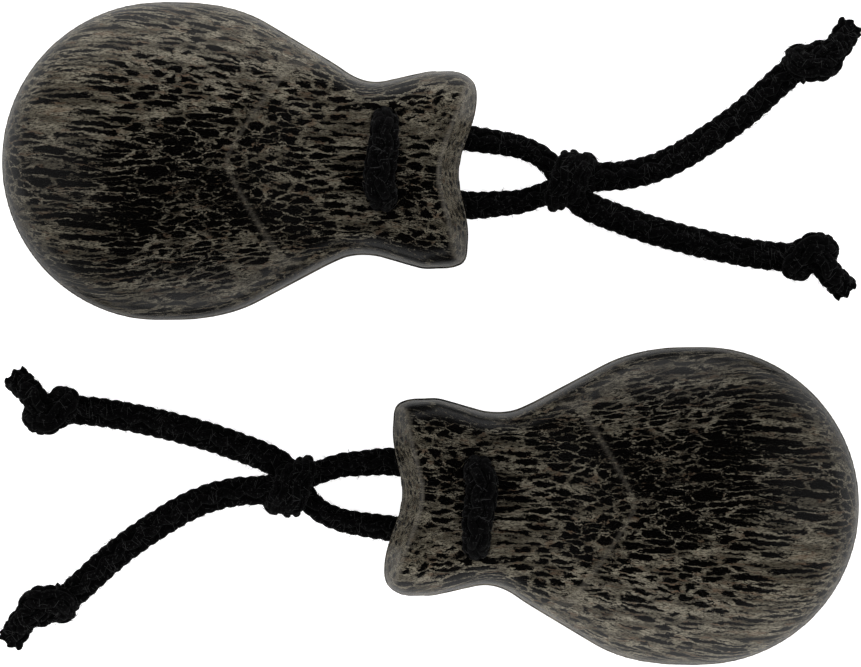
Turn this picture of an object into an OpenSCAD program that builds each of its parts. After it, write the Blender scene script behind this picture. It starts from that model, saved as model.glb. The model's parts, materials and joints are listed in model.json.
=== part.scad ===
// A pair of hand castanets, laid head to tail on a table.
// Each castanet is two hollowed hardwood shells laced together at the ears by one
// cord. The cord makes a bridge stitch over the upper shell, goes down through both
// shells, runs out under the ears and closes into a thumb loop with a sliding knot.
// Each castanet is drawn in its own frame: origin under the middle of its round
// disc, +X towards the ears, table at z = 0. The pair is symmetric about Z.

/* [Shell outline] */
// Radius of the round end of a shell
disc_r = 25.1; // [24.5:0.1:26]
// Straight stretch between the two halves of the disc
disc_stretch = 3.6; // [3:0.1:4]
// Slope of the flanks that narrow towards the waist
flank_angle = 29.4; // [28.5:0.1:30]
// Distance from the disc's middle to the waist
waist_x = 33.2; // [33:0.1:34]
// Half the width at the waist
waist_half = 13.5; // [13.3:0.1:14]
// Slope at which the ears open out again
flare_angle = 15; // [14:0.5:16]
// Half the width over the ears
ear_half = 15.5; // [15.2:0.1:16]
// Distance from the disc's middle to the ear tips
tip_x = 50; // [49.5:0.1:50.2]
// Corner radius of the ear tips
tip_r = 3.6; // [3:0.1:4]
// How far the ear end dips between the tips
end_dip = 2.5; // [2:0.1:3]
// How far the dip's middle sits off the long axis, towards the inner side
dip_shift = 1.3; // [0:0.1:1.5]
// How far the end face leans back per millimetre of height
end_lean = 0.4; // [0.3:0.01:0.5]

/* [Shell thickness] */
// Height of one shell at its crown
shell_depth = 15; // [14.5:0.1:16]
// Radius of the crown across the shell
crown_r = 32; // [31:0.5:34]
// Radius of the crown along the flanks
crown_long_r = 100; // [90:5:120]
// Height of one shell at the saddle behind the ears
saddle_h = 8.5; // [8.2:0.1:9]
// Distance from the disc's middle to the saddle's lowest place
saddle_x = 34; // [33.5:0.1:34.5]
// Hollow radius of the saddle along the shell
saddle_r = 50; // [48:1:54]
// Rounding radius of the saddle across the shell
saddle_cross_r = 40; // [38:1:56]
// Radius of the sound hollow at the parting face
hollow_rim_r = 17; // [15:0.5:18]
// Depth of the sound hollow
hollow_depth = 7; // [5:0.5:8]
// How far the lower shell stands proud of the upper one all round
lower_proud = 0.25; // [0.1:0.05:0.4]

/* [Lacing] */
// Diameter of the braided cord
cord_d = 4.3; // [4:0.1:4.4]
// Distance between the two cord holes
hole_spacing = 12; // [11.5:0.1:12.5]
// How far the pair of cord holes sits off the long axis, towards the outer side
hole_shift = 1.2; // [0:0.1:1.5]
// Distance from the disc's middle to the cord holes
hole_x = 35.2; // [35:0.1:35.5]
// Radial clearance of the cord in its holes
hole_clearance = 0.15; // [0.1:0.05:0.2]
// Depth of the countersink where a hole comes out of the wood
hole_sink = 0.8; // [0.5:0.1:1]
// How far the upper shell rocks open on the lacing
open_angle = 16; // [10:1:16]

/* [Loop and tails] */
// Distance from the disc's middle to the sliding knot
knot_x = 65.1; // [64.8:0.1:65.4]
// Spread of the two loop legs where they leave the ears
leg_spread = 10.4; // [10:0.1:10.8]
// How far the two legs sit off the long axis there, towards the inner side
leg_shift = 0.5; // [0:0.1:0.8]
// Turning radius of the outer tail
outer_bend_r = 28; // [27:0.5:30]
// Turning radius of the inner tail
inner_bend_r = 90; // [80:1:100]
// Length of a cut cord end past its stopper knot
cut_end = 4.5; // [4:0.5:5]

/* [Placement] */
// Distance of each disc's middle from the pair's middle, along X
pair_x = 42.6; // [42:0.1:44]
// Distance of each disc's middle from the pair's middle, along Y
pair_y = 27.2; // [27:0.1:29]
// Turn of each castanet's long axis
pair_turn = 1.6; // [0:0.1:3]

/* [Hidden] */
$fn = 96;

wood = [0.21, 0.19, 0.17];
black_cord = [0.05, 0.05, 0.055];

// A gap too small to see, which keeps neighbouring solids apart
hair = 0.1;
cord_r = cord_d / 2;
hole_r = cord_r + hole_clearance;
// The two cord runs of one lacing hole need this gap at the parting face to rock
hinge_gap = cord_r * sin(open_angle) + hair;
// Half of the V between the ears' inner faces, with a little to spare
bevel_spare = 0.6;
ear_bevel = open_angle / 2 + bevel_spare;
// Height of the cord's middle when it lies on the table
cord_z = cord_r + hair / 2;
// Turning radius of the cord where it comes out of a hole
turn_r = cord_r + 4.5 * hair;
// Height of the bridge stitch's middle above the parting face
bridge_h = saddle_h + cord_r + 3.5 * hair;
// Where the cord runs under the lower shell stop, just past the ear tips
runs_end_x = tip_x + 4 * hair;
// Where the loop's legs start: they are turned inwards, so they need room for a corner
legs_start_x = runs_end_x + 8 * hair;
// Radius of the concave ear end
end_r = (pow(ear_half - tip_r, 2) + pow(end_dip, 2)) / (2 * end_dip);
// The waist fillet touches both the flank and the disc's tangent
waist_r = ((waist_x - disc_stretch) * sin(flank_angle) + waist_half * cos(flank_angle)
    - disc_r) / (1 - cos(flank_angle));
knot_r = 4;
// The sliding knot sits a little to the inner side of the loop
knot_shift = -1.5;
// Half the distance between the two legs where they run into the sliding knot
legs_meet = 3;
end_knot_r = 3.3;

// Distance of a cord hole and of a loop leg from the long axis. side is 1 on the outer
// side and -1 on the inner one.
function hole_y(side) = hole_shift + side * hole_spacing / 2;
function leg_y(side) = side * leg_spread / 2 - leg_shift;

// ---- Shells ---------------------------------------------------------------

// Points on an arc of radius r about c, from one angle to another in equal steps
function arc(c, r, from, to, steps) = [
    for (i = [0:steps])
        c + r * [cos(from + (to - from) * i / steps), sin(from + (to - from) * i / steps)]
];

// Plan of one half of a shell, above its long axis, grown outwards by g: round the
// disc, down the flank, round the waist fillet, out along the flare to the ear tip
module half_plan(g) {
    waist_c = [waist_x, waist_half + waist_r];
    waist_out = waist_c + (waist_r - g) * [sin(flare_angle), -cos(flare_angle)];
    flare_end = [
        waist_out[0] + (ear_half + g - waist_out[1]) / tan(flare_angle), ear_half + g
    ];
    polygon(concat(
        arc([0, 0], disc_r + g, 180, 90, 15),
        arc([disc_stretch, 0], disc_r + g, 90, 90 - flank_angle, 5),
        arc(waist_c, waist_r - g, 270 - flank_angle, 270 + flare_angle, 8),
        [flare_end],
        arc([tip_x - tip_r, ear_half - tip_r], tip_r + g, 90, 0, 6),
        [[tip_x + g, 0]]
    ));
}

// Round walls: the plan turned about the shell's long axis
module walls(g) {
    rotate([0, 90, 0]) rotate([0, 0, 180]) rotate_extrude()
        mirror([1, -1]) half_plan(g);
}

// Crown: a ball over the disc that runs on as a long barrel over the flanks
module crown() {
    translate([0, 0, shell_depth - crown_r]) rotate([0, 90, 0]) rotate_extrude()
        mirror([1, -1]) intersection() {
            union() {
                intersection() {
                    circle(crown_r);
                    translate([-crown_r, 0]) square([crown_r, crown_r]);
                }
                intersection() {
                    translate([0, crown_r - crown_long_r]) circle(crown_long_r);
                    square([2 * crown_r, crown_r]);
                }
            }
            translate([-2 * crown_r, 0]) square([4 * crown_r, 2 * crown_r]);
        }
}

// What the saddle behind the ears takes away: a ring lying across the shell
module saddle_cut() {
    translate([saddle_x, 0, saddle_h - saddle_cross_r]) rotate([0, 90, 0])
        rotate_extrude() translate([saddle_cross_r + saddle_r, 0]) circle(saddle_r);
}

// What the leaning, concave ear end takes away
module end_cut(g) {
    reach = shell_depth + 1;
    translate([tip_x - end_dip + g + end_r, -dip_shift, -1])
        cylinder(h = reach + 1, r1 = end_r - end_lean, r2 = end_r + end_lean * reach);
}

// What is taken from the parting side of the ears so that the shells can rock
module bevel_cut() {
    translate([hole_x, 0, 0]) rotate([0, -ear_bevel, 0])
        translate([0, -2 * ear_half, -shell_depth])
            cube([2 * ear_half, 4 * ear_half, shell_depth]);
}

module hollow_cut() {
    ball_r = (pow(hollow_rim_r, 2) + pow(hollow_depth, 2)) / (2 * hollow_depth);
    translate([0, 0, hollow_depth - ball_r]) sphere(ball_r);
}

// The two lacing holes, each with a small countersink on the outside
module hole_cuts() {
    for (side = [-1, 1])
        translate([hole_x, hole_y(side), 0]) {
            translate([0, 0, -1]) cylinder(h = shell_depth + 2, r = hole_r);
            translate([0, 0, saddle_h - hole_sink])
                cylinder(h = 2 * hole_sink, r1 = hole_r - hair / 2, r2 = hole_r + 2 * hole_sink);
        }
}

// One shell with its parting face down at z = 0. The crown stops at the waist, where
// only the saddle sets the height.
module shell(g) {
    difference() {
        intersection() {
            walls(g);
            union() {
                crown();
                translate([saddle_x - 4, -disc_r, 0])
                    cube([disc_r, 2 * disc_r, shell_depth - 1]);
            }
            translate([-2 * disc_r, -2 * disc_r, 0])
                cube([4 * disc_r, 4 * disc_r, 2 * shell_depth]);
        }
        saddle_cut();
        end_cut(g);
        bevel_cut();
        hollow_cut();
        hole_cuts();
    }
}

module upper_shell() {
    color(wood) translate([0, 0, shell_depth + hair / 5]) shell(0);
}

module lower_shell() {
    color(wood) translate([0, 0, shell_depth]) mirror([0, 0, 1]) shell(lower_proud);
}

// ---- Cord -----------------------------------------------------------------

// A straight length of cord along +X
module straight(length) {
    rotate([0, 90, 0]) cylinder(h = length, r = cord_r);
}

// A bend that starts along +X and turns left
module bend(radius, angle, r = cord_r) {
    translate([0, radius, 0]) rotate([0, 0, -90])
        rotate_extrude(angle = angle) translate([radius, 0]) circle(r);
}

// A straight length of cord between two points
module cord_between(start, finish) {
    span = finish - start;
    translate(start) rotate([0, 0, atan2(span[1], span[0])])
        rotate([0, -atan2(span[2], norm([span[0], span[1]])), 0]) straight(norm(span));
}

// The stitch over the upper shell and its two legs down to the parting face
module cord_bridge() {
    half_run = hole_spacing / 2 - turn_r;
    drop = bridge_h - turn_r - hinge_gap / 2;
    color(black_cord) translate([hole_x, hole_shift, shell_depth]) {
        translate([0, -half_run, bridge_h]) rotate([0, 0, 90]) straight(2 * half_run);
        for (turn = [0, 180])
            rotate([0, 0, turn]) translate([0, half_run, bridge_h]) rotate([0, 0, 90]) {
                rotate([-90, 0, 0]) bend(turn_r, 90);
                translate([turn_r, 0, -turn_r]) rotate([0, 90, 0]) straight(drop);
            }
    }
}

// The two runs down the lower shell and out under the ears
module cord_runs() {
    top = shell_depth - hinge_gap / 2;
    color(black_cord)
        for (side = [-1, 1]) {
            way = [runs_end_x - hole_x, leg_y(side) - hole_y(side)];
            translate([hole_x, hole_y(side), 0]) rotate([0, 0, atan2(way[1], way[0])]) {
                translate([0, 0, cord_z + turn_r])
                    cylinder(h = top - cord_z - turn_r, r = cord_r);
                translate([0, 0, cord_z + turn_r]) rotate([0, 90, 0]) rotate([90, 0, 0])
                    bend(turn_r, 90);
                translate([turn_r, 0, cord_z]) straight(norm(way) - turn_r);
            }
        }
}

// A loop leg, from the ear end to the sliding knot
module leg(side) {
    color(black_cord) cord_between(
        [legs_start_x, leg_y(side), cord_z],
        [knot_x - knot_r - hair, side * legs_meet - leg_shift, cord_z]
    );
}

// A ball drawn out by lobe to each side along X, as a plain stand-in for a knot
module knot_ball(r, lobe) {
    rotate([0, 90, 0]) rotate_extrude()
        intersection() {
            union() {
                translate([0, lobe]) circle(r);
                translate([0, -lobe]) circle(r);
                translate([0, -lobe]) square([r, 2 * lobe]);
            }
            translate([0, -r - lobe]) square([r, 2 * (r + lobe)]);
        }
}

module sliding_knot() {
    lobe = 1.7;
    color(black_cord) translate([knot_x, knot_shift, knot_r]) rotate([0, 0, 90])
        knot_ball(knot_r, lobe);
}

// ---- Tails, each drawn from the point where it swings at the sliding knot ---

// A tail is a lead, a wide bend a touch slimmer than the cord, and a straight run
// whose ends sleeve the bend by lap
lap = 0.6;
slim_r = cord_r - 0.05;

outer_pivot = [knot_x + 5, -0.2, cord_z];
outer_heading = 4;
outer_lead = 1.2;
outer_turn = 37;
outer_straight = 14.8;

inner_pivot = [knot_x + 3.9, -5.5, cord_z];
inner_heading = -20;
inner_lead = 2;
inner_turn = 16;
inner_straight = 2.7;

// Places its children at the far end of a tail's bend
module past_bend(lead, radius, angle) {
    translate([lead + radius * sin(angle), radius * (1 - cos(angle)), 0])
        rotate([0, 0, angle]) children();
}

module tail(lead, radius, angle, run) {
    straight(lead + lap);
    translate([lead, 0, 0]) bend(radius, angle, slim_r);
    past_bend(lead, radius, angle) translate([-lap, 0, 0]) straight(run + lap);
}

module at_outer_pivot() {
    translate(outer_pivot) rotate([0, 0, outer_heading]) children();
}

module at_inner_pivot() {
    translate(inner_pivot) rotate([0, 0, inner_heading]) children();
}

module outer_tail() {
    color(black_cord) at_outer_pivot()
        tail(outer_lead, outer_bend_r, outer_turn, outer_straight);
}

module inner_tail() {
    color(black_cord) at_inner_pivot()
        tail(inner_lead, inner_bend_r, inner_turn, inner_straight);
}

// A stopper knot past the end of a tail, with its cut cord end turned by the angle and
// tucked a little way into it
module end_knot(turn) {
    lobe = 1.2;
    tuck = 1;
    middle = end_knot_r + lobe + cord_r - tuck;
    color(black_cord) translate([middle, 0, end_knot_r - cord_z]) {
        knot_ball(end_knot_r, lobe);
        rotate([0, 0, turn]) translate([end_knot_r - tuck, 0, cord_z - end_knot_r])
            straight(cut_end + tuck);
    }
}

module outer_end_knot() {
    at_outer_pivot() past_bend(outer_lead, outer_bend_r, outer_turn)
        translate([outer_straight, 0, 0]) end_knot(4);
}

module inner_end_knot() {
    at_inner_pivot() past_bend(inner_lead, inner_bend_r, inner_turn)
        translate([inner_straight, 0, 0]) end_knot(-36);
}

// ---- The pair ---------------------------------------------------------------

module left() {
    translate([-pair_x, pair_y, 0]) rotate([0, 0, -pair_turn]) children();
}

module right() {
    rotate([0, 0, 180]) left() children();
}

left() lower_shell();  // left_lower_shell
left() upper_shell();  // left_upper_shell
left() cord_bridge();  // left_cord_bridge
left() cord_runs();  // left_cord_runs
left() leg(1);  // left_outer_leg
left() leg(-1);  // left_inner_leg
left() sliding_knot();  // left_sliding_knot
left() outer_tail();  // left_outer_tail
left() inner_tail();  // left_inner_tail
left() outer_end_knot();  // left_outer_end_knot
left() inner_end_knot();  // left_inner_end_knot
right() lower_shell();  // right_lower_shell
right() upper_shell();  // right_upper_shell
right() cord_bridge();  // right_cord_bridge
right() cord_runs();  // right_cord_runs
right() leg(1);  // right_outer_leg
right() leg(-1);  // right_inner_leg
right() sliding_knot();  // right_sliding_knot
right() outer_tail();  // right_outer_tail
right() inner_tail();  // right_inner_tail
right() outer_end_knot();  // right_outer_end_knot
right() inner_end_knot();  // right_inner_end_knot
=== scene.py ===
import json
import math

import bpy
import numpy as np
from mathutils import Matrix, Vector


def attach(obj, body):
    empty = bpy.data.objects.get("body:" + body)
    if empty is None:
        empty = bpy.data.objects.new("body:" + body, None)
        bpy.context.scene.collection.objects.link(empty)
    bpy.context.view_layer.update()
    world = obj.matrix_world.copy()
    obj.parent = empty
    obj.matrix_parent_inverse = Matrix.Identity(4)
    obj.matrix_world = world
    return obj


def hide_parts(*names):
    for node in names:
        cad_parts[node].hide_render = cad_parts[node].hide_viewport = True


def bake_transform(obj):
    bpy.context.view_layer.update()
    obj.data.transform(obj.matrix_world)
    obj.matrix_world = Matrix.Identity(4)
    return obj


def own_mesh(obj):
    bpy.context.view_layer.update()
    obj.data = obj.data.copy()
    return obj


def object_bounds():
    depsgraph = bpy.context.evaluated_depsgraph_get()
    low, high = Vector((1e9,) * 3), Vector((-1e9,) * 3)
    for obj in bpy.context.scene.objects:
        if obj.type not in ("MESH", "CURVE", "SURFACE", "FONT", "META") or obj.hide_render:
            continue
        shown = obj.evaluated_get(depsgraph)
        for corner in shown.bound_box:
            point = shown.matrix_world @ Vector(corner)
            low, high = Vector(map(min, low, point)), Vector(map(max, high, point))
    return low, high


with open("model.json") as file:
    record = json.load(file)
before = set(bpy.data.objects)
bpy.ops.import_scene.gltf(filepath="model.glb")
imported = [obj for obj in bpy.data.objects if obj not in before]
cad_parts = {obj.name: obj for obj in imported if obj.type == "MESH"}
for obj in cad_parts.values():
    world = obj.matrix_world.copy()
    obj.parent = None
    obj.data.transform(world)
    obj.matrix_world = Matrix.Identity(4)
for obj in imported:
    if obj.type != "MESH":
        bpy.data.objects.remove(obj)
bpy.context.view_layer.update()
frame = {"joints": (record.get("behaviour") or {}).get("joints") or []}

# Everything below is worked in one castanet's own frame, in millimetres: origin under
# the middle of the disc, +X towards the ears, table at z = 0. Both castanets share it.
MM = 0.001

# Shell outline, seen from above. The disc is two quarter circles, DISC_STRETCH apart,
# its flanks lean in to the waist, and the ears flare out from there. Angles in degrees
DISC_R = 25.1
DISC_STRETCH = 3.6
FLANK_ANGLE = 29.4
WAIST_X = 33.2
WAIST_HALF = 13.5
FLARE_ANGLE = 15.0
EAR_HALF = 15.5
EAR_BEND_R = 8.0
TIP_X = 50.0
TIP_R = 4.4

# The shell stands over to its outer side by this much more past each stretch of its
# length: start, end, step. Its flanks do, its neck less
SWAY_STEPS = ((-5, 12, 0.35), (26, 34, -0.55), (41, 47, 0.2))

# Ear end: how far the face dips between the tips, slants across, and leans with height
END_X = 49.15
END_DIP = 2.2
END_SKEW = 0.038
END_LEAN = 0.4

# Crown: a ball up to BALL_END, a long barrel from BARREL_START on, and out of the way
# of the saddle from CROWN_END on
DEPTH = 15.0
CROWN_R = 32.0
CROWN_LONG_R = 100.0
BALL_END = -12.0
BARREL_START = 14.0

# Saddle: it starts in a V-shaped crease and is lowest at SADDLE_X. Its field is scaled by
# the cosine of its usual slope, and behind the crease it lifts clear of the crown
SADDLE_X = 34.0
SADDLE_H = 8.5
SADDLE_CROSS_R = 40.0
SADDLE_SHORTEST = 8
SADDLE_LIFT = 3.0
SADDLE_COSINE = 0.96
EAR_RISE_R = 50.0
CREASE_X = 10.4
CREASE_SLOPE = 0.634
CREASE_TIP_R = 1.0
CREASE_START = 1.2
CROWN_END = SADDLE_X - 12
CROWN_CUT = 14.0

# Inside: the sound hollow, and the bevel between the ears that lets the shells rock
HOLLOW_RIM_R = 17.0
HOLLOW_DEPTH = 7.0
EAR_BEVEL = 8.6
LOWER_PROUD = 0.25

# How widely two faces round into each other
CREASE_ROUND = 0.8
SHOULDER_ROUND = 2.6
END_ROUND = 0.9
LIP_ROUND = 0.5
RIM_ROUND = 0.9
HOLE_ROUND = 1.0

# Where rubbing has thinned the varnish, with a painted highlight too along the ear end's and
# lip's edges: how much along the crease, and how wide each line is
CREASE_WEAR = 0.45
CREASE_WEAR_WIDE = 0.1
END_WEAR_AND_HIGHLIGHT_WIDE = 0.6
LIP_WEAR_AND_HIGHLIGHT_WIDE = 0.35

# Lacing: the holes sit a little to the outer side of the long axis
CORD_R = 2.15
HOLE_X = 35.2
HOLE_SHIFT = 1.2
HOLE_Y = 6.0
HOLE_R = 2.05


# ---- Frames -----------------------------------------------------------------

def joint(name):
    """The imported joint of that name."""
    return next(j for j in frame["joints"] if j["name"] == name)


def castanet_matrix(side):
    """From a castanet's own frame in millimetres to the row frame in metres."""
    rock = joint(side + "_shell_rock")
    across = Vector(rock["axis"])
    along = across.cross(Vector((0, 0, 1)))
    origin = Vector(rock["pos_m"]) - along * HOLE_X * MM
    origin.z = 0
    matrix = Matrix((along, across, (0, 0, 1))).transposed().to_4x4()
    matrix.translation = origin
    return matrix @ Matrix.Scale(MM, 4)


SIDES = {side: castanet_matrix(side) for side in ("left", "right")}


# ---- Small maths ------------------------------------------------------------

def smax(a, b, k):
    """The larger of two fields, rounded over where they are within k of each other."""
    h = np.maximum(k - np.abs(a - b), 0.0) / k
    return np.maximum(a, b) + h * h * k / 4


def smoothstep(lo, hi, v):
    """0 below lo and 1 above hi, with a smooth rise between them."""
    t = np.clip((v - lo) / (hi - lo), 0.0, 1.0)
    return t * t * (3 - 2 * t)


def unit(vectors):
    """Rows scaled to length 1."""
    return vectors / np.linalg.norm(vectors, axis=1)[:, None]


def arc(centre, r, start, end, steps):
    """Points along an arc, between two angles in degrees."""
    a = np.radians(np.linspace(start, end, steps + 1))
    return np.column_stack([centre[0] + r * np.cos(a), centre[1] + r * np.sin(a)])


# ---- Shell shape ------------------------------------------------------------

def half_outline():
    """Upper half of the shell's plan, from the far end of the disc to the ear end."""
    sin_f, cos_f = math.sin(math.radians(FLANK_ANGLE)), math.cos(math.radians(FLANK_ANGLE))
    waist_r = ((WAIST_X - DISC_STRETCH) * sin_f + WAIST_HALF * cos_f - DISC_R) / (1 - cos_f)
    waist_c = (WAIST_X, WAIST_HALF + waist_r)
    waist = arc(waist_c, waist_r, 270 - FLANK_ANGLE, 270 + FLARE_ANGLE, 30)
    flare_end_x, flare_end_y = waist[-1]
    bend_x = flare_end_x + (EAR_HALF - flare_end_y) / math.tan(math.radians(FLARE_ANGLE))
    bend_x += EAR_BEND_R * math.tan(math.radians(FLARE_ANGLE / 2))
    return np.vstack([
        arc((0, 0), DISC_R, 180, 90, 60),
        arc((DISC_STRETCH, 0), DISC_R, 90, 90 - FLANK_ANGLE, 20),
        waist,
        arc((bend_x, EAR_HALF - EAR_BEND_R), EAR_BEND_R, 90 + FLARE_ANGLE, 90, 8),
        arc((TIP_X - TIP_R, EAR_HALF - TIP_R), TIP_R, 90, 0, 16),
    ])


def polygon_distance(x, y, points):
    """Signed distance from a closed polygon, negative inside."""
    best = np.full(x.shape, np.inf)
    inside = np.zeros(x.shape, bool)
    for a, b in zip(points, np.roll(points, -1, axis=0)):
        ab = b - a
        length2 = max(ab @ ab, 1e-12)
        t = np.clip(((x - a[0]) * ab[0] + (y - a[1]) * ab[1]) / length2, 0, 1)
        best = np.minimum(best, (x - a[0] - t * ab[0]) ** 2 + (y - a[1] - t * ab[1]) ** 2)
        if a[1] != b[1]:
            crosses = (a[1] > y) != (b[1] > y)
            inside ^= crosses & (x < ab[0] * (y - a[1]) / ab[1] + a[0])
    return np.sqrt(best) * np.where(inside, -1, 1)


class OutlineField:
    """The outline's signed distance, tabled once on a fine grid of (x, radius)."""

    STEP = 0.15
    BEHIND_DISC = 4
    BEYOND_TIP = 5
    BEYOND_RIM = 12
    LAST_STEP = 1.001

    def __init__(self):
        upper = half_outline()
        whole = np.vstack([upper, (upper * [1, -1])[::-1]])
        self.x0 = -DISC_R - self.BEHIND_DISC
        xs = np.arange(self.x0, TIP_X + self.BEYOND_TIP, self.STEP)
        rs = np.arange(0.0, DISC_R + self.BEYOND_RIM, self.STEP)
        gx, gr = np.meshgrid(xs, rs, indexing="ij")
        self.table = polygon_distance(gx, gr, whole)

    def __call__(self, x, r):
        """The table's value at (x, r), read between its points."""
        u = np.clip((x - self.x0) / self.STEP, 0, self.table.shape[0] - self.LAST_STEP)
        v = np.clip(r / self.STEP, 0, self.table.shape[1] - self.LAST_STEP)
        i, j = u.astype(int), v.astype(int)
        u, v = u - i, v - j
        t = self.table
        low = t[i, j] * (1 - u) + t[i + 1, j] * u
        high = t[i, j + 1] * (1 - u) + t[i + 1, j + 1] * u
        return low * (1 - v) + high * v


outline_field = OutlineField()


def crown(x, y, z):
    """The domed top: a ball behind the disc's middle, a long barrel in front of it."""
    r = np.hypot(y, z - DEPTH + CROWN_R)
    ball = np.hypot(x, r) - CROWN_R
    barrel = np.hypot(x, r + CROWN_LONG_R - CROWN_R) - CROWN_LONG_R
    t = smoothstep(BALL_END, BARREL_START, x)
    return (1 - t) * ball + t * barrel - CROWN_CUT * smoothstep(CROWN_END, SADDLE_X, x)


def saddle_height(x, y):
    """The scooped top behind the ears. It meets the crown in a V-shaped crease."""
    crease_x = CREASE_X + CREASE_SLOPE * (np.sqrt(y * y + CREASE_TIP_R ** 2) - CREASE_TIP_R)
    crease_x = np.minimum(crease_x, SADDLE_X - SADDLE_SHORTEST)
    barrel_r = np.sqrt(CROWN_LONG_R ** 2 - crease_x ** 2) - CROWN_LONG_R + CROWN_R
    crease_z = np.sqrt(np.maximum(barrel_r ** 2 - y * y, 1)) + DEPTH - CROWN_R
    waist_z = SADDLE_H - SADDLE_CROSS_R + np.sqrt(SADDLE_CROSS_R ** 2 - y * y)
    u = (x - crease_x) / (SADDLE_X - crease_x)
    drop, k = crease_z - waist_z, CREASE_START
    fall = drop * (k * u + (3 - 2 * k) * u ** 2 + (k - 2) * u ** 3)
    fall = np.where(u < 0, k * u * np.maximum(drop, SADDLE_LIFT), fall)
    rise = waist_z + (x - SADDLE_X) ** 2 / (2 * EAR_RISE_R)
    return np.where(x > SADDLE_X, rise, crease_z - fall)


def sway(x):
    """How far the shell stands over to its outer side."""
    return sum(step * smoothstep(start, end, x) for start, end, step in SWAY_STEPS)


def ear_end(x, y, z):
    """The end face: it dips between the ear tips and leans back from its inner lip."""
    across = np.clip(y / (EAR_HALF - TIP_R), -1, 1)
    dip = END_DIP * (0.5 + 0.5 * np.cos(math.pi * across))
    lip_z = (TIP_X - HOLE_X) * math.tan(math.radians(EAR_BEVEL))
    face_x = END_X + END_SKEW * y - dip - END_LEAN * (z - lip_z)
    return (x - face_x) / math.hypot(1, END_LEAN)


def outside(proud, x, y, z):
    """Fields of the crown, of the saddle, and of the outside that they make with the wall."""
    dome, saddle = crown(x, y, z), (z - saddle_height(x, y)) * SADDLE_COSINE
    wall = outline_field(x, np.hypot(y - sway(x), z)) - proud
    return dome, saddle, smax(wall, smax(dome, saddle, CREASE_ROUND), SHOULDER_ROUND)


def shell_field(proud):
    """The shell as a field in its own frame: parting face at z = 0, negative in wood."""
    ball_r = (HOLLOW_RIM_R ** 2 + HOLLOW_DEPTH ** 2) / (2 * HOLLOW_DEPTH)
    bevel = math.radians(EAR_BEVEL)

    def field(x, y, z):
        wood = smax(outside(proud, x, y, z)[2], ear_end(x - proud, y, z), END_ROUND)
        wood = smax(wood, -z, LIP_ROUND)
        hollow = ball_r - np.sqrt(x * x + y * y + (z - HOLLOW_DEPTH + ball_r) ** 2)
        wood = smax(wood, hollow, RIM_ROUND)
        wedge = (x - HOLE_X) * math.sin(bevel) - z * math.cos(bevel)
        wood = smax(wood, wedge, LIP_ROUND)
        bore = HOLE_R - np.hypot(x - HOLE_X, np.abs(y - HOLE_SHIFT) - HOLE_Y)
        return smax(wood, bore, HOLE_ROUND)

    return field


def on_edge(a, b, k):
    """1 where two faces meet in a rounded edge, falling to 0 a little way off it."""
    return np.clip(1 - np.abs(a - b) / k, 0, 1)


def wear_and_highlight(proud, x, y, z):
    """How far rubbing has thinned the varnish, from 0 to 1: along the crease, and along the
    edges, where it is also a painted highlight.
    """
    dome, saddle, wood = outside(proud, x, y, z)
    crease = CREASE_WEAR * on_edge(dome, saddle, CREASE_WEAR_WIDE)
    # Along the ear end's edge and the lip this is a painted highlight as well as rubbing
    end = on_edge(wood, ear_end(x - proud, y, z), END_WEAR_AND_HIGHLIGHT_WIDE)
    return np.maximum(crease, np.maximum(end, on_edge(wood, -z, LIP_WEAR_AND_HIGHLIGHT_WIDE)))


# ---- Turning a field into a mesh --------------------------------------------

# The grid's cell in mm, how often the mesh is evened out and landed on the surface, and
# the least squared slope that a landing step trusts
CELL = 0.45
RELAX_ROUNDS = 3
LANDING_STEPS = 2
GRADIENT_STEP = 0.02
FLATTEST = 0.2
SHELL_MARGIN = 1.0

CORNERS = [(i, j, k) for i in (0, 1) for j in (0, 1) for k in (0, 1)]
EDGES = [(a, b) for a in CORNERS for b in CORNERS
         if a < b and sum(abs(p - q) for p, q in zip(a, b)) == 1]


def at_corner(block, corner):
    """The grid's values at one corner of every cell."""
    i, j, k = corner
    nx, ny, nz = (n - 1 for n in block.shape)
    return block[i:i + nx, j:j + ny, k:k + nz]


def surface_net(field, low, high, cell):
    """A quad mesh on field = 0: one vertex per cell that the surface crosses."""
    axes = [np.arange(lo, hi + cell, cell) for lo, hi in zip(low, high)]
    value = field(*np.meshgrid(*axes, indexing="ij"))
    shape = tuple(n - 1 for n in value.shape)
    total, count = np.zeros(shape + (3,)), np.zeros(shape)
    for a, b in EDGES:
        va, vb = at_corner(value, a), at_corner(value, b)
        cut = (va < 0) != (vb < 0)
        t = np.where(cut, va / np.where(cut, va - vb, 1), 0)
        for axis in range(3):
            total[..., axis] += np.where(cut, a[axis] + t * (b[axis] - a[axis]), 0)
        count += cut
    cells = np.argwhere(count > 0)
    index = np.full(shape, -1)
    index[tuple(cells.T)] = np.arange(len(cells))
    verts = cells + total[tuple(cells.T)] / count[tuple(cells.T)][:, None]
    verts = verts * cell + np.array([a[0] for a in axes])
    return verts, net_quads(value, index)


def net_quads(value, index):
    """One quad round every grid edge that the surface crosses."""
    quads = []
    for axis in range(3):
        u, v = [(1, 2), (2, 0), (0, 1)][axis]
        near = np.moveaxis(value, (axis, u, v), (0, 1, 2))
        cells = np.moveaxis(index, (axis, u, v), (0, 1, 2))
        start, end = near[:-1, 1:-1, 1:-1] < 0, near[1:, 1:-1, 1:-1] < 0
        ring = np.stack([cells[:, :-1, :-1], cells[:, 1:, :-1],
                         cells[:, 1:, 1:], cells[:, :-1, 1:]], axis=-1)
        quads.append(ring[start & ~end])
        quads.append(ring[~start & end][:, ::-1])
    return np.vstack(quads)


def gradient(field, p):
    """The field's slope along x, y and z at each point."""
    h = GRADIENT_STEP
    return np.column_stack([
        (field(*(p + s).T) - field(*(p - s).T)) / (2 * h) for s in np.eye(3) * h
    ])


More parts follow.
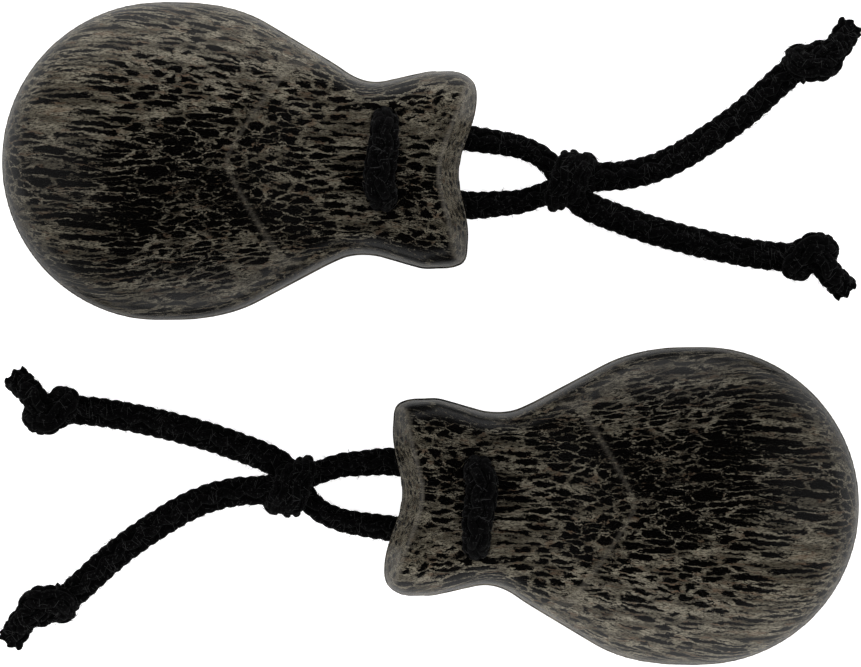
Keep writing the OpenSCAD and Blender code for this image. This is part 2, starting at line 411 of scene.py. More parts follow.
def relax(verts, quads, field):
    """Evens the mesh out along the surface, then lands each vertex on it."""
    count = np.bincount(quads.ravel(), minlength=len(verts))[:, None]
    for _ in range(RELAX_ROUNDS):
        middle = verts[quads].mean(axis=1)
        pulled = np.zeros_like(verts)
        for corner in range(4):
            np.add.at(pulled, quads[:, corner], middle)
        verts = verts + 0.5 * (pulled / count - verts)
        for _ in range(LANDING_STEPS):
            g = gradient(field, verts)
            slope2 = np.maximum((g * g).sum(1), FLATTEST)[:, None]
            step = field(*verts.T)[:, None] * g / slope2
            verts = verts - np.clip(step, -CELL / 2, CELL / 2)
    return verts


def make_mesh(name, verts, faces):
    """A smooth-shaded mesh. verts is an array, faces a list of vertex numbers."""
    mesh = bpy.data.meshes.new(name)
    mesh.from_pydata(verts.tolist(), [], faces)
    mesh.polygons.foreach_set("use_smooth", [True] * len(mesh.polygons))
    mesh.update()
    return mesh


def add_layer(mesh, name, values):
    """A number on each vertex, for the material to read."""
    layer = mesh.attributes.new(name, "FLOAT", "POINT")
    layer.data.foreach_set("value", values.astype(np.float32))


def place(name, mesh, matrix):
    """An object of that mesh in the scene."""
    obj = bpy.data.objects.new(name, mesh)
    bpy.context.scene.collection.objects.link(obj)
    obj.matrix_world = matrix
    return obj


def shell_mesh(name, proud, upper):
    """A shell's mesh in its castanet's frame, in metres."""
    field = shell_field(proud)
    low = (-DISC_R - SHELL_MARGIN, -DISC_R - SHELL_MARGIN, -SHELL_MARGIN)
    high = (TIP_X + SHELL_MARGIN, DISC_R + SHELL_MARGIN, DEPTH + SHELL_MARGIN)
    verts, quads = surface_net(field, low, high, CELL)
    verts = relax(verts, quads, field)
    worn_and_highlit = wear_and_highlight(proud, *verts.T)
    if not upper:
        verts[:, 2] *= -1
        quads = quads[:, ::-1]
    verts[:, 2] += DEPTH
    mesh = make_mesh(name, verts * MM, quads.tolist())
    add_layer(mesh, "worn_and_highlit", worn_and_highlit)
    return mesh


# ---- Cord -------------------------------------------------------------------

# Braid: its strands cross every CROSSING mm, and as many run each way round
CROSSING = 1.82
STRANDS = 6
STRAND_R = 1.47
WEAVE_DEPTH = 0.32
STRAND_WIDE = 0.68
STRAND_THICK = 0.45
CORE_R = 1.55
STRAND_SIDES = 8
CORE_SIDES = 12

# Lint: stray fibres along the cord. Each has its own reach either way, lift and slant
HAIRS_PER_MM = 8
HAIR_R = 0.028
HAIR_SIDES = 3
HAIR_POINTS = 4
HAIR_REACH = (0.1, 0.45)
HAIR_LIFT = (-0.1, 0.25)
HAIR_SUNK = 0.12
HAIR_SLANT = 0.4


class Path:
    """A smooth line through points, with a frame that doesn't twist along it."""

    STEP = 0.3
    FEWEST_STEPS = 4
    POINTS_PER_SPAN = 24
    UPRIGHT = 0.9

    def __init__(self, points):
        line = self.through(np.array(points, float))
        seg = np.linalg.norm(np.diff(line, axis=0), axis=1)
        s = np.concatenate([[0], np.cumsum(seg)])
        n = max(int(round(s[-1] / self.STEP)), self.FEWEST_STEPS)
        self.s = np.linspace(0, s[-1], n + 1)
        self.p = np.column_stack([np.interp(self.s, s, line[:, i]) for i in range(3)])
        self.length = s[-1]
        self.make_frames()

    def through(self, points):
        """Centripetal Catmull-Rom spline."""
        ends = [2 * points[0] - points[1]], [2 * points[-1] - points[-2]]
        p = np.vstack([ends[0], points, ends[1]])
        spans = np.sqrt(np.linalg.norm(np.diff(p, axis=0), axis=1))
        knots = np.concatenate([[0], np.cumsum(spans)])
        out = []
        for i in range(1, len(p) - 2):
            k = knots[i - 1:i + 3]
            t = np.linspace(k[1], k[2], self.POINTS_PER_SPAN, endpoint=False)[:, None]
            q = p[i - 1:i + 3]
            a = [(k[j + 1] - t) / (k[j + 1] - k[j]) * q[j]
                 + (t - k[j]) / (k[j + 1] - k[j]) * q[j + 1] for j in range(3)]
            b = [(k[j + 2] - t) / (k[j + 2] - k[j]) * a[j]
                 + (t - k[j]) / (k[j + 2] - k[j]) * a[j + 1] for j in range(2)]
            out.append((k[2] - t) / (k[2] - k[1]) * b[0]
                       + (t - k[1]) / (k[2] - k[1]) * b[1])
        out.append(points[-1:])
        return np.vstack(out)

    def make_frames(self):
        """Tangent t, and two normals n and b carried along without twist."""
        self.t = unit(np.gradient(self.p, axis=0))
        first = self.t[0]
        up = np.array([0, 0, 1.0]) if abs(first[2]) < self.UPRIGHT else np.array([1.0, 0, 0])
        normals = [np.cross(np.cross(first, up), first)]
        for t in self.t[1:]:
            n = normals[-1] - (normals[-1] @ t) * t
            normals.append(n / np.linalg.norm(n))
        self.n = unit(np.array(normals))
        self.b = np.cross(self.t, self.n)


def tube(centres, along, side, wide, thick, sides):
    """Rings of an oval tube round a centre line. wide and thick may vary along it."""
    out = unit(np.cross(along, side))
    a = np.linspace(0, 2 * math.pi, sides, endpoint=False)
    wide = np.broadcast_to(wide, len(centres))[:, None, None]
    thick = np.broadcast_to(thick, len(centres))[:, None, None]
    return (centres[:, None]
            + wide * np.cos(a)[None, :, None] * side[:, None]
            + thick * np.sin(a)[None, :, None] * out[:, None])


def strand(centres, out, wide, thick, sides):
    """Rings of a strand along its centres, lying flat across the outward direction."""
    along = unit(np.gradient(centres, axis=0))
    return tube(centres, along, unit(np.cross(along, out)), wide, thick, sides)


def ring_faces(rings, sides, start):
    """Quads between a tube's neighbouring rings, and one face closing each end."""
    i = np.arange(rings - 1)[:, None] * sides
    j = np.arange(sides)[None, :]
    k = (j + 1) % sides
    quads = np.stack([i + j, i + k, i + sides + k, i + sides + j], axis=-1)
    first = range(start + sides - 1, start - 1, -1)
    last = range(start + (rings - 1) * sides, start + rings * sides)
    return (quads.reshape(-1, 4) + start).tolist() + [list(first), list(last)]


class CordBuilder:
    """Collects the cord's strands and lint into one mesh, and marks the lint's vertices."""

    def __init__(self):
        self.verts, self.faces, self.lint = [], [], []
        self.count = 0

    def add_tube(self, rings, lint=0.0):
        n, sides = rings.shape[:2]
        self.verts.append(rings.reshape(-1, 3))
        self.faces += ring_faces(n, sides, self.count)
        self.lint.append(np.full(n * sides, lint))
        self.count += n * sides

    def add_braid(self, path, size):
        """Flat strands, as many each way, over and under a round core. size scales the
        cord's thickness at each point of the path."""
        turn = math.pi / (STRANDS * CROSSING)
        weave = np.cos(math.pi * path.s / CROSSING)
        for hand in (1, -1):
            for i in range(STRANDS):
                angle = hand * turn * path.s + 2 * math.pi * i / STRANDS
                angle += (hand < 0) * math.pi / STRANDS
                out = np.cos(angle)[:, None] * path.n + np.sin(angle)[:, None] * path.b
                r = (STRAND_R + hand * WEAVE_DEPTH * weave) * size
                self.add_tube(strand(path.p + r[:, None] * out, out, STRAND_WIDE * size,
                                     STRAND_THICK * size, STRAND_SIDES))
        self.add_tube(tube(path.p, path.t, path.n, CORE_R * size, CORE_R * size, CORE_SIDES))

    def add_lint(self, path, size):
        """Fine stray fibres that lie along the cord and lift a little off it. Each run
        of cord draws its own, seeded by its length."""
        random = np.random.default_rng(int(path.length * 1000))
        cord_r = (STRAND_R + WEAVE_DEPTH + STRAND_THICK) * size
        u = np.linspace(-1, 1, HAIR_POINTS)[:, None]
        for _ in range(int(path.length * HAIRS_PER_MM)):
            i = random.integers(1, len(path.s) - 1)
            angle, slant = random.uniform(0, 2 * math.pi), random.uniform(-1, 1)
            reach, lift = random.uniform(*HAIR_REACH), random.uniform(*HAIR_LIFT)
            around = angle + slant * HAIR_SLANT * u
            out = np.cos(around) * path.n[i] + np.sin(around) * path.b[i]
            r = cord_r[i] - HAIR_SUNK + lift * (u + 1) ** 2 / 2
            centres = path.p[i] + r * out + reach * (1 - 0.5 * abs(slant)) * u * path.t[i]
            self.add_tube(strand(centres, out, HAIR_R, HAIR_R, HAIR_SIDES), lint=1.0)

    def mesh(self, name):
        mesh = make_mesh(name, np.vstack(self.verts) * MM, self.faces)
        add_layer(mesh, "lint", np.concatenate(self.lint))
        return mesh


def cord_mesh(name, points, radius):
    """A cord along the points. A tuple of radii is spread evenly along it."""
    path, builder = Path(points), CordBuilder()
    if isinstance(radius, tuple):
        radius = np.interp(path.s / path.length, np.linspace(0, 1, len(radius)), radius)
    size = np.broadcast_to(radius / CORD_R, len(path.s))
    builder.add_braid(path, size)
    builder.add_lint(path, size)
    return builder.mesh(name)


# ---- The cord's course ------------------------------------------------------

# Height of the cord's middle under the ears, and of the bridge stitch's over them
CORD_Z = 2.2
BRIDGE_Z = DEPTH + SADDLE_H + CORD_R + 0.1

# The stitch slants: its middle, its inner top and its inner bend lie nearer the disc
BRIDGE_MIDDLE_BACK = 0.3
BRIDGE_TOP_BACK = 0.6
BRIDGE_BEND_BACK = 0.5

# How thick each run lies, as radii. It is loose where it is free and tight in a knot
LACING_R = (2.15, 2.15, 2.15, 2.15, 2.5, 2.6, 2.2, 2.15, 2.15, 2.15, 2.15)
OUTER_LEG_R = (2.25, 2.25, 2.0, 1.85)
INNER_LEG_R = (2.5, 2.45, 2.1, 1.85)
TAIL_R = 2.45
KNOT_R = 2.05
STOPPER_R = 2.2


def lacing_points():
    """Out from under the inner ear, up through the shells, over the bridge and back."""
    half = [
        (HOLE_X, 2.5, BRIDGE_Z), (HOLE_X, 4.6, BRIDGE_Z - 0.5),
        (HOLE_X, 5.9, BRIDGE_Z - 2.3), (HOLE_X, HOLE_Y, BRIDGE_Z - 5),
        (HOLE_X, HOLE_Y, DEPTH), (HOLE_X, HOLE_Y, CORD_Z + 4.2),
        (HOLE_X + 0.7, HOLE_Y, CORD_Z + 1.5), (HOLE_X + 2.4, HOLE_Y, CORD_Z + 0.1),
    ]
    outer = [(x, HOLE_SHIFT + y, z) for x, y, z in half] + [(40.2, 6.5, CORD_Z)]
    inner = [(x, HOLE_SHIFT - y, z) for x, y, z in half] + [(40.2, -5.1, CORD_Z)]
    inner[0] = (HOLE_X - BRIDGE_TOP_BACK, *inner[0][1:])
    inner[1] = (HOLE_X - BRIDGE_BEND_BACK, *inner[1][1:])
    middle = (HOLE_X - BRIDGE_MIDDLE_BACK, HOLE_SHIFT, BRIDGE_Z + 0.1)
    return inner[::-1] + [middle] + outer


OUTER_LEG = [
    (38.5, 6.7, CORD_Z), (44.0, 5.9, CORD_Z), (49.7, 5.1, CORD_Z), (53.6, 4.65, CORD_Z),
    (56.9, 4.05, 2.3), (60.1, 2.7, 2.7), (62.0, 1.0, 3.4), (63.4, -1.2, 3.5),
]
INNER_LEG = [
    (38.5, -4.9, CORD_Z), (44.0, -5.2, CORD_Z), (49.9, -5.4, CORD_Z), (53.9, -5.0, CORD_Z),
    (57.1, -4.6, 2.2), (60.2, -3.5, 2.5), (62.2, -2.6, 3.1), (64.0, -1.4, 3.4),
]
OUTER_TAIL = [
    (64.2, -2.2, 3.1), (66.8, -1.0, 2.9), (69.6, -0.3, 2.5), (72.9, -0.05, 2.4),
    (77.6, 1.1, 2.4), (81.6, 2.9, 2.4), (85.5, 5.35, 2.4), (89.5, 8.2, 2.4),
    (93.3, 11.35, 2.4), (97.4, 15.3, 2.4), (99.6, 17.4, 2.5),
]
INNER_TAIL = [
    (64.4, -2.0, 3.1), (66.4, -4.1, 2.9), (68.2, -5.2, 2.6), (70.6, -6.15, 2.4),
    (73.1, -7.0, 2.4), (77.9, -8.5, 2.4), (85.9, -10.4, 2.4), (93.9, -11.8, 2.4),
    (98.3, -12.2, 2.4), (100.8, -12.3, 2.5),
]
# The free cord wraps twice round the two legs: up over the front, down behind
KNOT_WRAP = [
    (63.6, -1.2, 2.0), (62.6, -4.0, 2.9), (62.9, -3.5, 5.2), (63.6, -1.0, 6.2),
    (64.3, 1.2, 5.6), (64.8, 1.95, 3.6), (65.3, 0.6, 2.0), (65.6, -1.8, 2.0),
    (65.5, -3.5, 3.2), (65.6, -2.2, 5.4), (66.2, 0.0, 5.9), (66.7, 1.5, 4.7),
    (67.3, 1.5, 2.7), (68.4, 0.2, 2.3),
]
# An overhand knot about its own middle: +X follows the tail, z is above the middle
OVERHAND = [
    (-3.6, -0.2, -1.0), (-1.0, -0.6, -0.3), (1.6, -0.2, -1.2), (2.5, 1.2, -0.6),
    (1.1, 2.0, 1.1), (-0.9, 0.9, 2.1), (-2.2, -1.1, 1.3), (-1.8, -2.1, -0.7),
    (-0.2, -0.9, -1.7), (0.3, 0.5, 0.0),
]
# Past each overhand knot to the cut end, in the same frame
OUTER_CUT = [(2.2, 0.9, 1.1), (4.2, 0.9, 0.4), (6.2, 0.3, -0.8), (8.2, -0.3, -1.6)]
INNER_CUT = [(1.9, -0.6, 1.3), (3.2, -2.0, 0.6), (4.9, -3.4, -0.8), (6.5, -4.6, -1.6)]
OUTER_KNOT_MIDDLE, OUTER_KNOT_HEADING = (103.0, 19.1, 3.8), 42
INNER_KNOT_MIDDLE, INNER_KNOT_HEADING = (103.3, -12.1, 3.8), -5


def stopper_points(middle, heading, mirror, cut):
    """A stopper knot at its place, and the cord past it to the cut end."""
    turn = Matrix.Rotation(math.radians(heading), 3, "Z")
    points = [Vector((x, y * mirror, z)) for x, y, z in OVERHAND + cut]
    return [tuple(Vector(middle) + turn @ p) for p in points]


OUTER_END = stopper_points(OUTER_KNOT_MIDDLE, OUTER_KNOT_HEADING, -1, OUTER_CUT)
INNER_END = stopper_points(INNER_KNOT_MIDDLE, INNER_KNOT_HEADING, 1, INNER_CUT)

CORD_RUNS = {
    "lacing": (lacing_points(), LACING_R), "outer_loop_leg": (OUTER_LEG, OUTER_LEG_R),
    "inner_loop_leg": (INNER_LEG, INNER_LEG_R), "knot_wrap": (KNOT_WRAP, KNOT_R),
    "outer_tail_cord": (OUTER_TAIL, TAIL_R), "inner_tail_cord": (INNER_TAIL, TAIL_R),
    "outer_stopper": (OUTER_END, STOPPER_R), "inner_stopper": (INNER_END, STOPPER_R),
}


# ---- Materials --------------------------------------------------------------

# The wood's fibres climb by this slope at the disc's middle, and level out by this much
# per millimetre towards the ears
GRAIN_CLIMB = 0.30
GRAIN_ARCH = 0.0068

# How the fibres sway: how many sways fit in a millimetre along and across them, and how
# far each pushes them, in millimetres
GRAIN_SWAYS = (
    ((0.045, 0.08, 0.08), (0.0, 3.2, 3.2)),
    ((0.22, 0.55, 0.55), (0.0, 1.3, 1.3)),
    ((0.9, 2.2, 2.2), (0.0, 0.7, 0.7)),
)

# How many of each figure fit in a millimetre, along the fibres and across them
BUNDLES = (0.07, 0.88, 0.88)
THREADS = (0.30, 4.5, 4.5)
CLOUDS = (0.06, 0.20, 0.20)
PRICKLES = (1.6, 6.0, 6.0)
SPECKS = (1.2, 5.2, 5.2)
PATCHES = (0.10, 0.7, 0.7)
RUST_PATCHES = (0.15, 1.5, 1.5)

# How strongly each figure frays or crowds the dark bundles, and where a bundle is dark
THREAD_SHARE = 0.50
PRICKLE_SHARE = 0.30
CLOUD_SHARE = 0.40
END_GRAIN_SHARE = 0.12
DARK_FROM, DARK_TO = 0.735, 0.795

# Where the dark bundles crowd together: on the crown, from this far off the parting face,
# and towards the ears. Painted shade puts more of them on the inner side and painted light
# fewer on the outer, by these amounts. The fibres are cut across where the surface's
# normal points this much along the shell
CROWN_FROM, CROWN_CROWDING = 7.0, 0.115
OUTER_PAINTED_LIGHT, INNER_PAINTED_SHADE = -0.03, 0.07
EARS_FROM, EARS_CROWDING = WAIST_X - 20, 0.08
END_GRAIN_FROM, END_GRAIN_TO = 0.55, 0.8

# From where to where each noise shows: the pale wood's patches and specks, the rust
PATCH_RANGE = (0.38, 0.62)
SPECK_RANGE = (0.38, 0.58)
RUST_RANGE = (0.56, 0.70)
RUST_MOST = 0.55
# Painted light and painted shade: the pale wood is brightened on the outer side and dulled on
# the inner side by these factors
OUTER_PALE_PAINTED_LIGHT, INNER_PALE_PAINTED_SHADE = 1.05, 0.62

# The rubbing on the edges and its painted highlight break up with the specks, and the
# varnish's gloss varies with the threads
RUB_AND_HIGHLIGHT_RANGE = (0.35, 0.6)
RUB_AND_HIGHLIGHT_LEAST, RUB_AND_HIGHLIGHT_MOST = 0.3, 0.75
GLOSS_RANGE = (0.2, 0.8)
ROUGH_LEAST, ROUGH_MOST = 0.22, 0.30

# How deep the figures stand in the surface: the bump's strength, and its height in metres
WOOD_BUMP = (0.12, 0.0001)
CORD_BUMP = (0.6, 0.0003)
THREAD_BUMP_SHARE = 0.5

# Dust on the cord: how many specks and drifts fit in a millimetre, and where it gathers
FUZZ_SCALE, DUST_SCALE = 3.2, 0.35
FUZZ_RANGE = (0.59, 0.72)
DUST_RANGE = (0.35, 0.65)
DUST_LEAST = 0.4

# Colours, linear
DARK_FIBRE = (0.0012, 0.001, 0.0009, 1)
PALE_LIGHT = (0.23, 0.207, 0.156, 1)
PALE_MID = (0.075, 0.066, 0.047, 1)
PALE_LOW = (0.018, 0.0145, 0.0105, 1)
RUST = (0.09, 0.05, 0.028, 1)
# Varnish thinned by rubbing, which on the edges is also a painted highlight
RUBBED_AND_HIGHLIT = (0.15, 0.135, 0.11, 1)
CORD_BLACK = (0.0008, 0.0008, 0.0009, 1)
DUST_GREY = (0.08, 0.08, 0.08, 1)
LINT_GREY = (0.05, 0.05, 0.05, 1)


class Nodes:
    """A small helper that adds and joins shader nodes."""

    def __init__(self, name):
        self.material = bpy.data.materials.new(name)
        self.material.use_nodes = True
        self.tree = self.material.node_tree
        self.tree.nodes.clear()

    def add(self, kind, inputs=None, **settings):
        node = self.tree.nodes.new("ShaderNode" + kind)
        for key, value in settings.items():
            setattr(node, key, value)
        for key, value in (inputs or {}).items():
            self.feed(node, key, value)
        return node

    def feed(self, node, key, value):
        socket = node.inputs[key]
        if hasattr(value, "links"):
            self.tree.links.new(value, socket)
        else:
            socket.default_value = value

    def place_mm(self):
        """The place in the object's own frame, in millimetres."""
        return self.scaled(self.add("TexCoord").outputs["Object"], (1 / MM, 1 / MM, 1 / MM))

    def attribute(self, name):
        return self.add("Attribute", attribute_name=name).outputs["Fac"]

    def math(self, operation, a, b=0.0):
        return self.add("Math", {0: a, 1: b}, operation=operation).outputs[0]

    def plus(self, a, b, share=1.0):
        """a, and that share of b."""
        return self.math("ADD", a, self.math("MULTIPLY", b, share))

    def remap(self, value, lo, hi, out_lo=0.0, out_hi=1.0):
        node = self.add("MapRange", {"Value": value, "From Min": lo, "From Max": hi,
                                     "To Min": out_lo, "To Max": out_hi})
        return node.outputs["Result"]

    def mix(self, share, a, b):
        node = self.add("Mix", data_type="RGBA")
        self.feed(node, 0, share)
        self.feed(node, 6, a)
        self.feed(node, 7, b)
        return node.outputs[2]

    def scaled(self, vector, scale):
        node = self.add("VectorMath", {0: vector, 1: scale}, operation="MULTIPLY")
        return node.outputs[0]

    def noise(self, vector, scale, detail, rough=0.5):
        """Noise over a place. scale is one number or one along each axis."""
        if isinstance(scale, tuple):
            vector, scale = self.scaled(vector, scale), 1.0
        return self.add("TexNoise", {"Vector": vector, "Scale": scale, "Detail": detail,
                                     "Roughness": rough}).outputs

    def swayed(self, vector, place, scale, shift):
        """vector pushed about by noise of that scale, by up to about half the shift."""
        push = self.noise(place, scale, 2.0, 0.6)["Color"]
        push = self.add("VectorMath", {0: push, 1: (0.5, 0.5, 0.5)}, operation="SUBTRACT")
        push = self.scaled(push.outputs[0], shift)
        return self.add("VectorMath", {0: vector, 1: push}, operation="ADD").outputs[0]

    def bump(self, height, strength, distance):
        node = self.add("Bump", {"Height": height, "Strength": strength, "Distance": distance})
        return node.outputs[0]

    def finish(self, shader):
        self.add("OutputMaterial", {"Surface": shader})
        return self.material


def fibre_places(n, x, y, z):
    """The place levelled along the climbing fibres, and the same with their sway."""
    climb = n.plus(GRAIN_CLIMB, x, -GRAIN_ARCH)
    level = n.math("SUBTRACT", z, n.math("MULTIPLY", x, climb))
    fibre = n.add("CombineXYZ", {0: x, 1: y, 2: level}).outputs[0]
    grain = fibre
    for scale, shift in GRAIN_SWAYS:
        grain = n.swayed(grain, fibre, scale, shift)
    return fibre, grain


def crowding(n, x, y, z):
    """How far the dark bundles crowd out the pale wood. They do so least where the
    fibres are cut across, so that their dots stand apart."""
    outwards = n.math("ABSOLUTE", n.math("SUBTRACT", z, DEPTH))
    facing = n.add("SeparateXYZ", {0: n.add("TexCoord").outputs["Normal"]}).outputs[0]
    more = n.remap(outwards, CROWN_FROM, DEPTH, 0.0, CROWN_CROWDING)
    # Painted shade: more dark bundles on the inner side. Painted light: fewer on the outer
    # side
    more = n.plus(more, n.remap(y, EAR_HALF, -EAR_HALF, OUTER_PAINTED_LIGHT, INNER_PAINTED_SHADE))
    more = n.plus(more, n.remap(x, EARS_FROM, TIP_X, 0.0, EARS_CROWDING))
    return n.plus(more, n.remap(facing, END_GRAIN_FROM, END_GRAIN_TO), -END_GRAIN_SHARE)


def bundle_darkness(n, fibre, grain, threads, crowded):
    """1 in a dark fibre bundle, 0 in the pale wood between them."""
    cells = n.add("TexVoronoi", {"Vector": n.scaled(grain, BUNDLES), "Scale": 1.0},
                  feature="DISTANCE_TO_EDGE")
    core = n.plus(cells.outputs["Distance"], threads, THREAD_SHARE)
    core = n.plus(core, n.noise(grain, PRICKLES, 2.0, 0.6)["Fac"], PRICKLE_SHARE)
    core = n.plus(core, n.noise(fibre, CLOUDS, 2.0)["Fac"], CLOUD_SHARE)
    return n.remap(n.math("ADD", core, crowded), DARK_FROM, DARK_TO)


def pale_wood(n, fibre, grain, specks, y):
    """The stringy wood between the bundles, with rusty streaks. Painted shade dulls it
    inwards, and painted light brightens it on the outer side.
    """
    patches = n.noise(fibre, PATCHES, 2.0)["Fac"]
    bright = n.mix(n.remap(patches, *PATCH_RANGE), PALE_MID, PALE_LIGHT)
    pale = n.mix(n.remap(specks, *SPECK_RANGE), PALE_LOW, bright)
    rust = n.noise(grain, RUST_PATCHES, 2.0)["Fac"]
    pale = n.mix(n.remap(rust, *RUST_RANGE, 0, RUST_MOST), pale, RUST)
    # Painted shade on the inner side, painted light on the outer side
    return n.scaled(pale, n.remap(y, EAR_HALF, -DISC_R, OUTER_PALE_PAINTED_LIGHT, INNER_PALE_PAINTED_SHADE))


def wood_material():
    """Varnished black palm: dark fibre bundles that run through a pale, stringy wood.
    They climb a little towards the ears, so that the crown cuts them into short
    blotches, the sides into long streaks and the disc's far edge into dots."""
    n = Nodes("black_palm")
    x, y, z = n.add("SeparateXYZ", {0: n.place_mm()}).outputs
    fibre, grain = fibre_places(n, x, y, z)
    threads = n.noise(grain, THREADS, 3.0, 0.7)["Fac"]
    specks = n.noise(fibre, SPECKS, 2.0, 0.9)["Fac"]
    dark = bundle_darkness(n, fibre, grain, threads, crowding(n, x, y, z))
    colour = n.mix(dark, pale_wood(n, fibre, grain, specks, y), DARK_FIBRE)
    broken = n.remap(specks, *RUB_AND_HIGHLIGHT_RANGE, RUB_AND_HIGHLIGHT_LEAST, RUB_AND_HIGHLIGHT_MOST)
    # Rubbing along the crease, and a painted highlight with it along the edges
    rubbed_and_highlit = n.math("MULTIPLY", n.attribute("worn_and_highlit"), broken)
    height = n.math("SUBTRACT", n.math("MULTIPLY", threads, THREAD_BUMP_SHARE), dark)
    shader = n.add("BsdfPrincipled", {
        "Base Color": n.mix(rubbed_and_highlit, colour, RUBBED_AND_HIGHLIT),
        "Roughness": n.remap(threads, *GLOSS_RANGE, ROUGH_LEAST, ROUGH_MOST),
        "IOR": 1.5, "Specular IOR Level": 0.36, "Normal": n.bump(height, *WOOD_BUMP)})
    return n.finish(shader.outputs[0])


def cord_material():
    """Matt black braided cord, with dust caught between its strands and lint on it."""
    n = Nodes("black_cord")
    place_mm = n.place_mm()
    fuzz = n.noise(place_mm, FUZZ_SCALE, 3.0, 0.8)["Fac"]
    patches = n.noise(place_mm, DUST_SCALE, 2.0)["Fac"]
    gathers = n.remap(patches, *DUST_RANGE, DUST_LEAST, 1.0)
    dust = n.math("MULTIPLY", n.remap(fuzz, *FUZZ_RANGE), gathers)
    colour = n.mix(dust, CORD_BLACK, DUST_GREY)
    shader = n.add("BsdfPrincipled", {
        "Base Color": n.mix(n.attribute("lint"), colour, LINT_GREY),
        "Roughness": 0.9, "Specular IOR Level": 0.05, "Sheen Weight": 0.02,
        "Normal": n.bump(fuzz, *CORD_BUMP)})
    return n.finish(shader.outputs[0])


# ---- Stage ------------------------------------------------------------------

# Everything on the stage is in metres and watts, in the row frame
FLOOR_HALF = 3.0
FLOOR_GAP = 0.00005
FLOOR_GLOW = 0.97
FLOOR_LIGHT = 0.12
LENS_MM, SENSOR_MM = 420, 36
FRAMED_WIDTH = 0.13605

# What the varnish mirrors: up the sky at both ends and at both sides, from a bright low
# band to the dark overhead. Start, end, low strength, high strength. SKY_TURN is where
# the ends give way to the sides
SKY_ENDS = (0.60, 0.82, 0.26, 0.003)
SKY_SIDES = (0.15, 0.42, 0.13, 0.004)
SKY_TURN = (0.25, 0.6, 0, 1)

OVERHEAD = {"where": (0, 0, 2.4), "aim": (0, 0, 0), "size": (2.5, 2.5),
            "power": 12, "mirrored": False}
# These stand in pairs, the second one turned by 180 degrees
END = {"where": (0.45, 0, 0.22), "aim": (0, 0, 0), "size": (0.3, 0.3),
       "power": 0.9, "mirrored": False}
OUTER_SIDE = {"where": (-0.04, 0.16, 0.035), "aim": (-0.02, 0.04, 0.01),
              "size": (0.24, 0.07), "power": 0.03, "mirrored": True}
OUTER_FILL = {"where": (0, 0.22, 0.12), "aim": (-0.02, 0.04, 0.01),
              "size": (0.26, 0.12), "power": 0.35, "mirrored": False}


def floor_material():
    """White. It glows for the camera, so that it stays even, and lights little."""
    n = Nodes("pale_floor")
    seen = n.add("LightPath").outputs["Is Camera Ray"]
    strength = n.remap(seen, 0, 1, FLOOR_LIGHT, FLOOR_GLOW)
    glow = n.add("Emission", {"Color": (1, 1, 1, 1), "Strength": strength})
    matt = n.add("BsdfDiffuse", {"Color": (0.5, 0.5, 0.5, 1)})
    return n.finish(n.add("AddShader", {0: glow.outputs[0], 1: matt.outputs[0]}).outputs[0])


def add_floor():
    """The floor lies just under the lowest strand of the cord."""
    h = FLOOR_HALF
    corners = np.array([(-h, -h, 0), (h, -h, 0), (h, h, 0), (-h, h, 0)])
    floor = place("floor", make_mesh("floor", corners, [[0, 1, 2, 3]]),
                  Matrix.Translation((0, 0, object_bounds()[0].z - FLOOR_GAP)))
    floor.data.materials.append(floor_material())


def add_world():
    """A studio that is dark overhead, where the camera looks down from, and bright low
    down. The pair lies in it the same way round and turned."""
    world = bpy.data.worlds.new("studio")
    bpy.context.scene.world = world
    world.use_nodes = True
    tree = world.node_tree
    tree.nodes.clear()
    new, link = tree.nodes.new, tree.links.new

    def band(value, start, end, low, high):
        node = new("ShaderNodeMapRange")
        node.interpolation_type = "SMOOTHSTEP"
        link(value, node.inputs["Value"])
        for key, number in (("From Min", start), ("From Max", end), ("To Min", low),
                            ("To Max", high)):
            node.inputs[key].default_value = number
        return node.outputs[0]

    coord, split = new("ShaderNodeTexCoord"), new("ShaderNodeSeparateXYZ")
    link(coord.outputs["Generated"], split.inputs[0])
    across = new("ShaderNodeMath")
    across.operation = "ABSOLUTE"
    link(split.outputs["Y"], across.inputs[0])
    mix = new("ShaderNodeMix")
    link(band(across.outputs[0], *SKY_TURN), mix.inputs[0])
    link(band(split.outputs["Z"], *SKY_ENDS), mix.inputs[2])
    link(band(split.outputs["Z"], *SKY_SIDES), mix.inputs[3])
    background, output = new("ShaderNodeBackground"), new("ShaderNodeOutputWorld")
    link(mix.outputs[0], background.inputs["Strength"])
    link(background.outputs[0], output.inputs[0])


def add_panel(name, where, aim, size, power, mirrored, turn=1):
    """A soft rectangular light. turn = -1 turns it by 180 degrees about the middle."""
    data = bpy.data.lights.new(name, "AREA")
    data.shape, data.size, data.size_y = "RECTANGLE", size[0], size[1]
    data.energy = power
    light = bpy.data.objects.new(name, data)
    bpy.context.scene.collection.objects.link(light)
    turned = Vector((turn, turn, 1))
    where, aim = Vector(where) * turned, Vector(aim) * turned
    light.location = where
    light.rotation_euler = (aim - where).to_track_quat("-Z", "Y").to_euler()
    light.visible_glossy = mirrored


def add_lights():
    """Soft light from overhead, from both ends, and along each castanet's outer side."""
    add_panel("overhead", **OVERHEAD)
    for turn in (1, -1):
        add_panel("end", turn=turn, **END)
        add_panel("outer_side", turn=turn, **OUTER_SIDE)
        add_panel("outer_fill", turn=turn, **OUTER_FILL)


def add_camera():
    """Straight above the middle of the pair, far off with a long lens."""
    data = bpy.data.cameras.new("camera")
    data.sensor_width, data.lens = SENSOR_MM, LENS_MM
    data.clip_start, data.clip_end = 0.01, 100
    camera = bpy.data.objects.new("camera", data)
    bpy.context.scene.collection.objects.link(camera)
    distance = FRAMED_WIDTH * LENS_MM / SENSOR_MM
    camera.location = (0, 0, distance + DEPTH * MM)
    bpy.context.scene.camera = camera
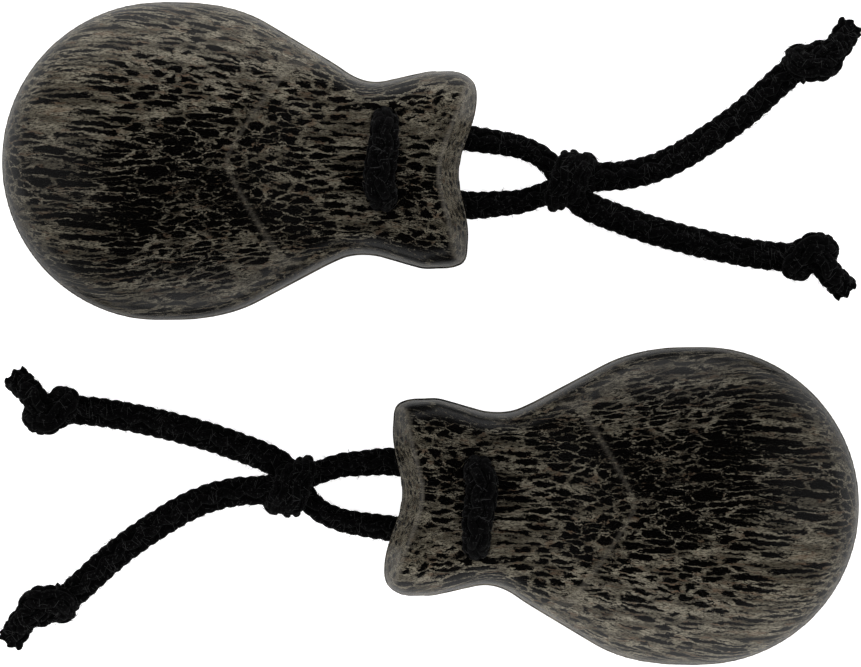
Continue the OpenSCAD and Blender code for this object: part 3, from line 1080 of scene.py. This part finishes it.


# ---- Assembly ---------------------------------------------------------------

# A tail's heading is in degrees from the castanet's long axis
TAIL_HEADINGS = {"outer": 4, "inner": -20}

wood, cord = wood_material(), cord_material()
WOOD_MESHES = {
    "upper": shell_mesh("upper_shell", 0.0, True),
    "lower": shell_mesh("lower_shell", LOWER_PROUD, False),
}
CORD_MESHES = {name: cord_mesh(name, *run) for name, run in CORD_RUNS.items()}


def new_piece(side, name, mesh, material, replaced):
    """A castanet's piece, on its own copy of the mesh, in place of those CAD nodes."""
    mesh = mesh.copy()
    mesh.materials.append(material)
    piece = place(f"{side}_{name}", mesh, SIDES[side] @ Matrix.Scale(1 / MM, 4))
    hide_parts(*[f"{side}_{node}" for node in replaced])
    return piece


def cord_piece(side, name, *replaced):
    return new_piece(side, name, CORD_MESHES[name], cord, replaced)


def add_wood(side):
    for name, body in (("upper", "top"), ("lower", "base")):
        piece = new_piece(side, name + "_wood", WOOD_MESHES[name], wood,
                          [name + "_shell"])
        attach(piece, f"{side}_{body}")


def add_lacing(side):
    """The lacing crosses the parting face, where the upper shell rocks."""
    piece = cord_piece(side, "lacing", "cord_bridge", "cord_runs")
    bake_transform(piece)


def add_loop(side):
    """The legs ride with the base, and the knot's wrap with the sliding knot."""
    for name in ("outer", "inner"):
        piece = cord_piece(side, name + "_loop_leg", name + "_leg")
        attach(piece, f"{side}_base")
        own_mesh(piece)
    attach(cord_piece(side, "knot_wrap", "sliding_knot"), f"{side}_knot")


def add_tails(side):
    """Each tail, and its stopper knot, which rides with the tail's run."""
    for name, heading in TAIL_HEADINGS.items():
        along = SIDES[side].to_3x3() @ Vector((1, 0, 0))
        along = Matrix.Rotation(math.radians(heading), 3, "Z") @ along.normalized()
        piece = cord_piece(side, name + "_tail_cord", name + "_tail")
        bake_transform(piece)
        stopper = cord_piece(side, name + "_stopper", name + "_end_knot")
        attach(stopper, f"{side}_{name}_tail_run")


for side in SIDES:
    add_wood(side)
    add_lacing(side)
    add_loop(side)
    add_tails(side)

add_floor()
add_world()
add_lights()
add_camera()
bpy.context.scene.view_settings.view_transform = "Standard"
